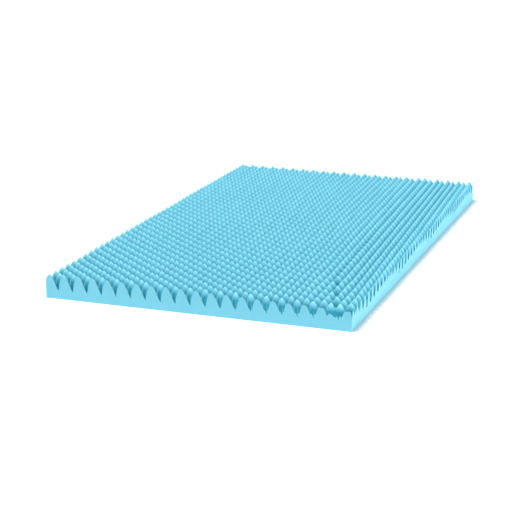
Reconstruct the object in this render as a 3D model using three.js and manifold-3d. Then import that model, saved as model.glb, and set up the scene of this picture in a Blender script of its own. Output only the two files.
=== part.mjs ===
import * as THREE from 'three';
import { mergeVertices } from 'three/addons/utils/BufferGeometryUtils.js';
import Module from 'manifold-3d';

// Egg-crate foam mattress topper for a twin bed, in millimetres, +Z up.
// One sheet of foam: a flat underside, straight cut sides, and a top of staggered peaks and pits.
// The origin is on the underside, at the middle of the sheet. +Y runs along the bed.

// Driving dimensions of the sheet
const WIDTH = 990;
const LENGTH = 1905;
const THICKNESS = 80; // up to the tallest tips
const FLOOR = 26; // foam left under the bottom of a pit
const TIP_LOSS = 4; // the shortest peaks are this much lower than the tallest
const FLOOR_RISE = 3; // the shallowest pits are this much shallower than the deepest

// The lattice of peaks, counted in whole repeats from the corner by the left foot of the bed.
// Columns run along the length and rows across it, slightly askew to the cut edge. Both lie
// closer together at the head of the bed, where the foam was stretched less as it was cut.
const COLUMNS = { footLeft: 0.1, footRight: 20.37, headLeft: 0.17, headRight: 22.56 };
const ROWS = { footLeft: -0.58, footRight: -0.3, headLeft: 44.82, headRight: 44.58 };
const STRETCH = 0.105; // rows at the foot are this much more than evenly apart, at the head less
const LEAN = 4; // a tip leans this far to the left of the lattice, and a pit as far to the right

// A parting groove runs down the right side, and beyond it peaks stand where pits would be.
// The tips there lean right. It follows the columns, and bears right as it nears the foot.
const PARTING = { head: 17.75, foot: 19.25, bendAt: 0.17 };
const GROOVE_HEIGHT = 44;

// The lattice is made past the edges and then trimmed to the sheet
const STEPS_PER_REPEAT = 2; // a peak and a pit in each repeat, both ways
const FIRST_COLUMN = -1;
const LAST_COLUMN = 47;
const FIRST_ROW = -3;
const LAST_ROW = 92;
const TRIM_DEPTH = 10; // how far the untrimmed sheet reaches below the underside
const SNAP = 3.5; // a peak or pit this close to a cut edge is cut exactly through

const FOAM_BLUE = 0x7fcfe8;

const mix = (start, end, share) => start + (end - start) * share;

// Where a lattice point lies on the sheet, with its lean to the right
function place(column, row, lean) {
  const vLeft = (row - ROWS.footLeft) / (ROWS.headLeft - ROWS.footLeft);
  const vRight = (row - ROWS.footRight) / (ROWS.headRight - ROWS.footRight);
  const uFoot = (column - COLUMNS.footLeft) / (COLUMNS.footRight - COLUMNS.footLeft);
  const uHead = (column - COLUMNS.headLeft) / (COLUMNS.headRight - COLUMNS.headLeft);
  const even = mix(vLeft, vRight, mix(uFoot, uHead, vLeft));
  const v = (even * (1 + STRETCH)) / (1 + even * STRETCH);
  const u = mix(uFoot, uHead, v);
  return { x: (u - 0.5) * WIDTH + lean, y: (v - 0.5) * LENGTH };
}

function snapToEdge(distance, edge) {
  const gap = Math.abs(Math.abs(distance) - edge);
  return gap < SNAP ? Math.sign(distance) * edge : distance;
}

// Foam never cuts perfectly even: a slow swell over the sheet and a small change from peak to peak
function unevenness(i, j) {
  const swell = Math.sin(i * 0.31 + 1.2) * Math.sin(j * 0.17 + 0.4);
  const jitter = Math.sin(i * 12.9898 + j * 78.233);
  return 0.5 + 0.25 * swell + 0.25 * jitter;
}

// The last column before the parting groove, in a row of the lattice
function lastBeforeParting(row) {
  const v = (row - ROWS.footLeft) / (ROWS.headLeft - ROWS.footLeft);
  const bend = Math.max(0, 1 - v / PARTING.bendAt);
  return Math.floor(mix(PARTING.head, PARTING.foot, Math.min(1, bend)) * STEPS_PER_REPEAT);
}

// The closed, untrimmed sheet: a vertex at each peak, each pit and each step of the groove,
// and four corners underneath
function untrimmedSheet() {
  const positions = [];
  const triangles = [];
  const across = LAST_COLUMN - FIRST_COLUMN + 2;
  const along = LAST_ROW - FIRST_ROW + 1;
  const height = (vertex) => positions[vertex * 3 + 2];
  for (let j = FIRST_ROW; j <= LAST_ROW; j++) {
    const row = j / STEPS_PER_REPEAT;
    const lastColumn = lastBeforeParting(row);
    const addVertex = (column, lean, z) => {
      const spot = place(column, row, lean);
      positions.push(snapToEdge(spot.x, WIDTH / 2), snapToEdge(spot.y, LENGTH / 2), z);
    };
    for (let i = FIRST_COLUMN; i <= LAST_COLUMN; i++) {
      const flipped = i > lastColumn ? 1 : 0;
      const isPeak = Math.abs(i + j + flipped) % 2 === 0;
      const change = unevenness(i, j);
      const lean = isPeak === i > lastColumn ? LEAN : -LEAN;
      const z = isPeak ? THICKNESS - TIP_LOSS * change : FLOOR + FLOOR_RISE * change;
      addVertex(i / STEPS_PER_REPEAT, lean, z);
      if (i === lastColumn) {
        addVertex((i + 0.5) / STEPS_PER_REPEAT, 0, GROOVE_HEIGHT);
      }
    }
  }
  const top = (column, row) => row * across + column;
  for (let row = 0; row < along - 1; row++) {
    for (let column = 0; column < across - 1; column++) {
      const near = top(column, row);
      const nearNext = top(column + 1, row);
      const far = top(column, row + 1);
      const farNext = top(column + 1, row + 1);
      // the fold of each square runs along its lower diagonal, so every peak stands alone
      if (height(near) + height(farNext) > height(nearNext) + height(far)) {
        triangles.push(near, nearNext, far, nearNext, farNext, far);
      } else {
        triangles.push(near, nearNext, farNext, near, farNext, far);
      }
    }
  }
  const base = positions.length / 3;
  const corners = [top(0, 0), top(across - 1, 0), top(across - 1, along - 1), top(0, along - 1)];
  for (const corner of corners) {
    positions.push(positions[corner * 3], positions[corner * 3 + 1], -TRIM_DEPTH);
  }
  triangles.push(base, base + 2, base + 1, base, base + 3, base + 2);
  const rim = [
    Array.from({ length: across }, (_, k) => top(k, 0)),
    Array.from({ length: along }, (_, k) => top(across - 1, k)),
    Array.from({ length: across }, (_, k) => top(across - 1 - k, along - 1)),
    Array.from({ length: along }, (_, k) => top(0, along - 1 - k)),
  ];
  rim.forEach((side, k) => {
    const start = base + k;
    const end = base + ((k + 1) % rim.length);
    for (let n = 0; n < side.length - 1; n++) {
      triangles.push(start, side[n + 1], side[n]);
    }
    triangles.push(start, end, side[side.length - 1]);
  });
  const geometry = new THREE.BufferGeometry();
  geometry.setAttribute('position', new THREE.Float32BufferAttribute(positions, 3));
  geometry.setIndex(triangles);
  return geometry;
}

const wasm = await Module();
wasm.setup();

function solidFrom(geometry) {
  const bare = geometry.clone();
  bare.deleteAttribute('normal');
  bare.deleteAttribute('uv');
  const merged = mergeVertices(bare);
  const vertProperties = Float32Array.from(merged.attributes.position.array);
  const triVerts = Uint32Array.from(merged.index.array);
  return new wasm.Manifold(new wasm.Mesh({ numProp: 3, vertProperties, triVerts }));
}

function geometryFrom(solid) {
  const { vertProperties, triVerts } = solid.getMesh();
  const geometry = new THREE.BufferGeometry();
  geometry.setAttribute('position', new THREE.BufferAttribute(Float32Array.from(vertProperties), 3));
  geometry.setIndex(new THREE.BufferAttribute(Uint32Array.from(triVerts), 1));
  geometry.computeVertexNormals();
  return geometry;
}

// The knife's box: straight sides all round, and the flat underside
function trimBox() {
  const height = THICKNESS * 2;
  const box = new THREE.BoxGeometry(WIDTH, LENGTH, height);
  box.translate(0, 0, height / 2);
  return box;
}

function foamSheet() {
  const trimmed = solidFrom(untrimmedSheet()).intersect(solidFrom(trimBox()));
  const material = new THREE.MeshStandardMaterial({ color: FOAM_BLUE, roughness: 0.95, metalness: 0 });
  const mesh = new THREE.Mesh(geometryFrom(trimmed), material);
  mesh.name = 'foam_sheet';
  return mesh;
}

const topper = new THREE.Group();
topper.add(foamSheet());

export default topper;
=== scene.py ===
import math

import bmesh
import bpy
from mathutils import Matrix, Vector, noise


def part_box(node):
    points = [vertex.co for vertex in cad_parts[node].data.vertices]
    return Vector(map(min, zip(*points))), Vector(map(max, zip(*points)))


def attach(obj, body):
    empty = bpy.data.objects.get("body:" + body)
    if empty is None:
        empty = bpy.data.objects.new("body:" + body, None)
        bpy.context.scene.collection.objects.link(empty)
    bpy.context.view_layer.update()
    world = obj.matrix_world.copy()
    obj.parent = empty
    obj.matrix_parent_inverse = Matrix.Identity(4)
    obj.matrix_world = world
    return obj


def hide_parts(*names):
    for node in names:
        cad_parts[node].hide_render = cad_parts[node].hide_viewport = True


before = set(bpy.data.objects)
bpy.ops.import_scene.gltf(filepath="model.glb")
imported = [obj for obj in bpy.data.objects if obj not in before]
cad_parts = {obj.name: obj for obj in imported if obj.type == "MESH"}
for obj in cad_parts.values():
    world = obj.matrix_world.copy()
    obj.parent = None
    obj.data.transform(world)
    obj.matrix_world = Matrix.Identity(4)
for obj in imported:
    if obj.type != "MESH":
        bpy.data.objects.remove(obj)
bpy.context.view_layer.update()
scene = bpy.context.scene


# Camera
# A long lens from the right of the foot of the bed, a little above the sheet.
# It looks down at the angle of the photograph and is tipped about a degree.
camera_turn = math.radians(18.11)
camera_height = math.radians(14.74)
camera_tip = math.radians(0.96)
camera_distance = 5.631
camera_right = -0.1122
camera_up = -0.085
lens_in_frame_widths = 1566.1 / 512
sensor = 36.0
aim = Vector((0, 0, 0.038))

back = Vector((
    math.sin(camera_turn) * math.cos(camera_height),
    -math.cos(camera_turn) * math.cos(camera_height),
    math.sin(camera_height),
))
level_right = Vector((math.cos(camera_turn), math.sin(camera_turn), 0))
level_up = back.cross(level_right)
right = level_right * math.cos(camera_tip) + level_up * math.sin(camera_tip)
up = level_up * math.cos(camera_tip) - level_right * math.sin(camera_tip)

camera_data = bpy.data.cameras.new("camera")
camera_data.sensor_width = sensor
camera_data.lens = sensor * lens_in_frame_widths
camera = bpy.data.objects.new("camera", camera_data)
scene.collection.objects.link(camera)
camera_place = aim + right * camera_right + up * camera_up + back * camera_distance
camera_axes = Matrix((right, up, back)).transposed().to_4x4()
camera.matrix_world = Matrix.Translation(camera_place) @ camera_axes
scene.camera = camera


# Foam sheet
# One sheet of soft polyurethane foam for a twin bed. Rollers squeeze the slab against a knife,
# which leaves staggered peaks and pits on top. The underside and the four sides are plain cuts.
sheet_low, sheet_high = (Vector(corner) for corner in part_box("foam_sheet"))
thickness = 0.080

# The lattice is counted in whole repeats. Each has a peak and a pit, both ways. Its columns and
# rows stand closer together at the head of the bed, where the foam was stretched less in cutting.
columns_at_foot = (0.1, 20.37)
columns_at_head = (0.17, 22.56)
rows_at_left = (-0.58, 44.82)
rows_at_right = (-0.3, 44.58)
stretch = 0.105

# A groove down the right side parts the pattern. Past it there are peaks in place of pits. The
# last pits before it are shallow. It bears right over the last part of the way to the foot.
parting_at_head = 17.75
parting_at_foot = 19.25
parting_bend = 0.17
groove_depth = 0.006
groove_half_width = 0.15
groove_past_column = 0.25
parting_floor = 0.050

# Each finger is a blunt cone that meets the next ones in sharp valleys. The pits between four
# fingers are closed up to slits below.
waist_height = 0.0355
pit_height = 0.025
finger_curve = 1.32
valley_depth = 0.010
valley_half_width = 0.13
slit_half_width = 0.05
slit_spread = 0.35
slit_half_length = 0.33
slit_end_bluntness = 4

# The fingers lean left before the groove, and right past it
lean = 0.009
lean_curve = 0.6
lean_turn = 1.2

# The foam is never cut quite even. Tips and pits swell slowly in height over the sheet and also
# change from one to the next, and the whole surface is slightly ragged.
tip_loss = 0.004
tip_reach = 0.25
floor_rise = 0.003
swell_across, swell_along = 0.31, 0.17
swell_start_across, swell_start_along = 1.2, 0.4
jitter_across, jitter_along = 12.9898, 78.233
raggedness = 0.0008
ragged_grain = 60
ragged_seed = 7

# The sheet is drawn past its edges first. The small squares of its surface crowd towards the
# peaks and the pits.
first_column, last_column = -0.5, 23.5
first_row, last_row = -1.5, 46.0
squares_per_half_repeat = 5
crowding = 0.45
untrimmed_floor = -0.01


def mix(start, end, share):
    return start + (end - start) * share


def share_of(value, ends):
    return (value - ends[0]) / (ends[1] - ends[0])


def crowd(value):
    """Draws the lines of a half repeat towards its peak and its pit."""
    return value - crowding * math.sin(4 * math.pi * value) / (4 * math.pi)


def unevenness(column, row):
    """How much a peak or pit is changed in height, from 0 to 1."""
    i = round(column * 2)
    j = round(row * 2)
    swell_x = math.sin(i * swell_across + swell_start_across)
    swell_y = math.sin(j * swell_along + swell_start_along)
    jitter = math.sin(i * jitter_across + j * jitter_along)
    return 0.5 + 0.25 * (swell_x * swell_y) + 0.25 * jitter


def parting_column(row):
    """The column that the parting groove follows."""
    bend = min(1, max(0, 1 - share_of(row, rows_at_left) / parting_bend))
    return mix(parting_at_head, parting_at_foot, bend)


def foam_top(column, row):
    """The point of the foam's top at a place in the lattice."""
    row_of_step = round(row * 2) / 2
    groove = math.floor(parting_column(row_of_step) * 2) / 2 + groove_past_column
    across = abs(column - round(column))
    along = abs(row - round(row))
    if column > groove:
        across = 0.5 - across
    peak = min(math.hypot(across, along), math.hypot(0.5 - across, 0.5 - along))
    pit = min((0.5 - across, along), (across, 0.5 - along), key=lambda off: math.hypot(*off))

    # The fingers, the valleys between two of them and the slits between four
    z = mix(thickness, waist_height, (2 * peak) ** finger_curve)
    slit = max(0, 1 - pit[0] / (slit_half_width + slit_spread * pit[1]))
    slit *= max(0, 1 - (pit[1] / slit_half_length) ** slit_end_bluntness)
    z -= valley_depth * max(0, 1 - abs(across + along - 0.5) / valley_half_width)
    z = mix(z, pit_height, slit)

    # The uneven tips and pits, the groove and the shallow pits before it
    change = unevenness(column, row)
    z -= tip_loss * change * max(0, 1 - peak / tip_reach)
    z += floor_rise * change * slit
    z -= groove_depth * max(0, 1 - abs(column - groove) / groove_half_width)
    z = max(z, parting_floor * max(0, 1 - abs(column - groove + groove_past_column)))

    # The lean, which grows up the finger
    side = min(1, max(-1, (column - parting_column(row)) / lean_turn))
    rise = max(0, z - pit_height) / (thickness - pit_height)
    sideways = lean * side * rise ** lean_curve

    # The place on the sheet
    v_left = share_of(row, rows_at_left)
    v_right = share_of(row, rows_at_right)
    u_foot = share_of(column, columns_at_foot)
    u_head = share_of(column, columns_at_head)
    even = mix(v_left, v_right, mix(u_foot, u_head, v_left))
    v = even * (1 + stretch) / (1 + even * stretch)
    u = mix(u_foot, u_head, v)
    point = Vector((mix(sheet_low.x, sheet_high.x, u), mix(sheet_low.y, sheet_high.y, v), z))
    ragged = noise.noise_vector(point * ragged_grain) * raggedness
    return point + Vector((sideways, 0, 0)) + ragged


# The raggedness comes from a fixed seed, so that every run gives the same sheet
noise.seed_set(ragged_seed)
foam = bmesh.new()
squares_across = round((last_column - first_column) * 2 * squares_per_half_repeat)
squares_along = round((last_row - first_row) * 2 * squares_per_half_repeat)
bmesh.ops.create_grid(foam, x_segments=squares_across, y_segments=squares_along, size=0.5)
for vertex in foam.verts:
    column = mix(first_column, last_column, vertex.co.x + 0.5)
    row = mix(first_row, last_row, vertex.co.y + 0.5)
    vertex.co = foam_top(crowd(column), crowd(row))
for face in foam.faces:
    face.smooth = True

# Each small square folds along its lower diagonal, which keeps the valleys sharp
for face in foam.faces[:]:
    first, second, third, fourth = face.verts
    if first.co.z + third.co.z < second.co.z + fourth.co.z:
        bmesh.utils.face_split(face, first, third)
    else:
        bmesh.utils.face_split(face, second, fourth)

# The walls and a floor under the untrimmed top
rim = [edge for edge in foam.edges if edge.is_boundary]
walls = bmesh.ops.extrude_edge_only(foam, edges=rim)["geom"]
for vertex in walls:
    if isinstance(vertex, bmesh.types.BMVert):
        vertex.co.z = untrimmed_floor
bmesh.ops.holes_fill(foam, edges=[edge for edge in foam.edges if edge.is_boundary], sides=0)
bmesh.ops.recalc_face_normals(foam, faces=foam.faces)


def knife(through, outwards):
    """Cuts away the foam outside a plane and closes the cut with a flat face."""
    everything = foam.verts[:] + foam.edges[:] + foam.faces[:]
    cut = bmesh.ops.bisect_plane(
        foam, geom=everything, plane_co=through, plane_no=outwards, clear_outer=True
    )["geom_cut"]
    edges = [item for item in cut if isinstance(item, bmesh.types.BMEdge)]
    for edge in edges:
        edge.smooth = False
    filled = bmesh.ops.triangle_fill(
        foam, use_beauty=True, use_dissolve=False, edges=edges, normal=outwards
    )["geom"]
    for face in filled:
        if isinstance(face, bmesh.types.BMFace):
            face.smooth = False


knife(sheet_low, (0, 0, -1))
knife(sheet_low, (-1, 0, 0))
knife(sheet_low, (0, -1, 0))
knife(sheet_high, (1, 0, 0))
knife(sheet_high, (0, 1, 0))

foam_mesh = bpy.data.meshes.new("foam_topper")
foam.to_mesh(foam_mesh)
foam.free()
foam_topper = bpy.data.objects.new("foam_topper", foam_mesh)
scene.collection.objects.link(foam_topper)

# Sky-blue foam: matt, soft with scattered light, and full of cells of one or two millimetres
foam_blue = (0.270, 0.740, 0.900, 1)
cell_blue = (0.200, 0.640, 0.800, 1)
cell_blue_share = 0.45
cells_per_metre = 700
cell_depth = 0.0005
clumps_per_metre = 90
clump_depth = 0.002
scatter = 0.15
scatter_reach = 0.003
scatter_of_red_green_blue = (0.3, 0.7, 1.0)
sheen = 0.25
sheen_spread = 0.5
shine = 0.2
smoothest, roughest = 0.82, 0.98

foam_material = bpy.data.materials.new("open cell foam")
foam_material.use_nodes = True
nodes = foam_material.node_tree.nodes
links = foam_material.node_tree.links
shader = nodes["Principled BSDF"]
shader.inputs["Subsurface Weight"].default_value = scatter
shader.inputs["Subsurface Radius"].default_value = scatter_of_red_green_blue
shader.inputs["Subsurface Scale"].default_value = scatter_reach
shader.inputs["Sheen Weight"].default_value = sheen
shader.inputs["Sheen Roughness"].default_value = sheen_spread
shader.inputs["Specular IOR Level"].default_value = shine


def ramp(value, start, end, low=0.0, high=1.0):
    """Runs from low to high while the value runs from start to end."""
    node = nodes.new("ShaderNodeMapRange")
    node.inputs["From Min"].default_value = start
    node.inputs["From Max"].default_value = end
    node.inputs["To Min"].default_value = low
    node.inputs["To Max"].default_value = high
    links.new(value, node.inputs["Value"])
    return node.outputs["Result"]


place = nodes.new("ShaderNodeTexCoord")
cells = nodes.new("ShaderNodeTexVoronoi")
cells.inputs["Scale"].default_value = cells_per_metre
links.new(place.outputs["Object"], cells.inputs["Vector"])
clumps = nodes.new("ShaderNodeTexNoise")
clumps.inputs["Scale"].default_value = clumps_per_metre
clumps.inputs["Detail"].default_value = 5
links.new(place.outputs["Object"], clumps.inputs["Vector"])

cell_mask = ramp(cells.outputs["Distance"], 0.1, 0.6, low=cell_blue_share, high=0.0)
colour = nodes.new("ShaderNodeMix")
colour.data_type = "RGBA"
colour.inputs["A"].default_value = foam_blue
colour.inputs["B"].default_value = cell_blue
links.new(cell_mask, colour.inputs["Factor"])

# Painted shade: the colour darkens down between the fingers as the height falls, standing in for
# the shade in the pits. The cut sides take one fixed share of this painted shade.
painted_shade_blue = (0.020, 0.270, 0.380, 1)
shade_free_height, full_shade_height = 0.077, 0.054
upright_slope, open_slope = 0.02, 0.2
cut_side_painted_shade = 0.3
height = nodes.new("ShaderNodeSeparateXYZ")
links.new(place.outputs["Object"], height.inputs["Vector"])
painted_shade_depth = ramp(height.outputs["Z"], shade_free_height, full_shade_height)
surface = nodes.new("ShaderNodeNewGeometry")
slope = nodes.new("ShaderNodeSeparateXYZ")
links.new(surface.outputs["True Normal"], slope.inputs["Vector"])
uncut = ramp(slope.outputs["Z"], upright_slope, open_slope)
# How much painted shade goes into the colour: by height on the top, a fixed share on the cut
# sides
painted_shade_share = nodes.new("ShaderNodeMix")
painted_shade_share.inputs["A"].default_value = cut_side_painted_shade
links.new(painted_shade_depth, painted_shade_share.inputs["B"])
links.new(uncut, painted_shade_share.inputs["Factor"])
# Mixes the dark painted shade colour into the foam colour
shaded_colour = nodes.new("ShaderNodeMix")
shaded_colour.data_type = "RGBA"
shaded_colour.inputs["B"].default_value = painted_shade_blue
links.new(painted_shade_share.outputs["Result"], shaded_colour.inputs["Factor"])
links.new(colour.outputs["Result"], shaded_colour.inputs["A"])
links.new(shaded_colour.outputs["Result"], shader.inputs["Base Color"])

roughness = ramp(clumps.outputs["Fac"], 0.0, 1.0, low=smoothest, high=roughest)
links.new(roughness, shader.inputs["Roughness"])

clump_bump = nodes.new("ShaderNodeBump")
clump_bump.inputs["Strength"].default_value = 0.3
clump_bump.inputs["Distance"].default_value = clump_depth
links.new(clumps.outputs["Fac"], clump_bump.inputs["Height"])
cell_bump = nodes.new("ShaderNodeBump")
cell_bump.inputs["Strength"].default_value = 0.5
cell_bump.inputs["Distance"].default_value = cell_depth
links.new(cells.outputs["Distance"], cell_bump.inputs["Height"])
links.new(clump_bump.outputs["Normal"], cell_bump.inputs["Normal"])
links.new(cell_bump.outputs["Normal"], shader.inputs["Normal"])
foam_mesh.materials.append(foam_material)

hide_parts("foam_sheet")
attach(foam_topper, "root")


# Floor
# A wide, plain, nearly white floor that the sheet lies on.
# It has no pattern, and only shows the soft shadow under the sheet.
floor_size = 80
floor_gap = 0.0004
floor_white = (0.95, 0.95, 0.95, 1)
floor_mesh = bpy.data.meshes.new("floor")
floor_grid = bmesh.new()
bmesh.ops.create_grid(floor_grid, x_segments=1, y_segments=1, size=floor_size / 2)
bmesh.ops.translate(floor_grid, verts=floor_grid.verts, vec=(0, 0, sheet_low.z - floor_gap))
floor_grid.to_mesh(floor_mesh)
floor_grid.free()
floor = bpy.data.objects.new("floor", floor_mesh)
scene.collection.objects.link(floor)
floor_material = bpy.data.materials.new("pale floor")
floor_material.use_nodes = True
floor_shader = floor_material.node_tree.nodes["Principled BSDF"]
floor_shader.inputs["Base Color"].default_value = floor_white
floor_shader.inputs["Roughness"].default_value = 0.9
floor_shader.inputs["Specular IOR Level"].default_value = 0.1
floor_mesh.materials.append(floor_material)


# Light
# Soft studio light: a wide softbox overhead, a little to the left and in front, a low one
# that brightens the right side, and an even white surround.
surround_strength = 0.28


def softbox(name, direction, width, strength):
    """A far softbox. Its width is in degrees, as it looks from the sheet."""
    data = bpy.data.lights.new(name, "SUN")
    data.angle = math.radians(width)
    data.energy = strength
    light = bpy.data.objects.new(name, data)
    scene.collection.objects.link(light)
    light.rotation_euler = Vector(direction).to_track_quat("Z", "Y").to_euler()


softbox("softbox", direction=(-0.4, -0.2, 1.0), width=30, strength=3.6)
softbox("side softbox", direction=(1.0, -0.1, 0.12), width=30, strength=3.0)

world = bpy.data.worlds.new("studio")
world.use_nodes = True
world.node_tree.nodes["Background"].inputs["Color"].default_value = (1, 1, 1, 1)
world.node_tree.nodes["Background"].inputs["Strength"].default_value = surround_strength
scene.world = world
scene.view_settings.view_transform = "Standard"
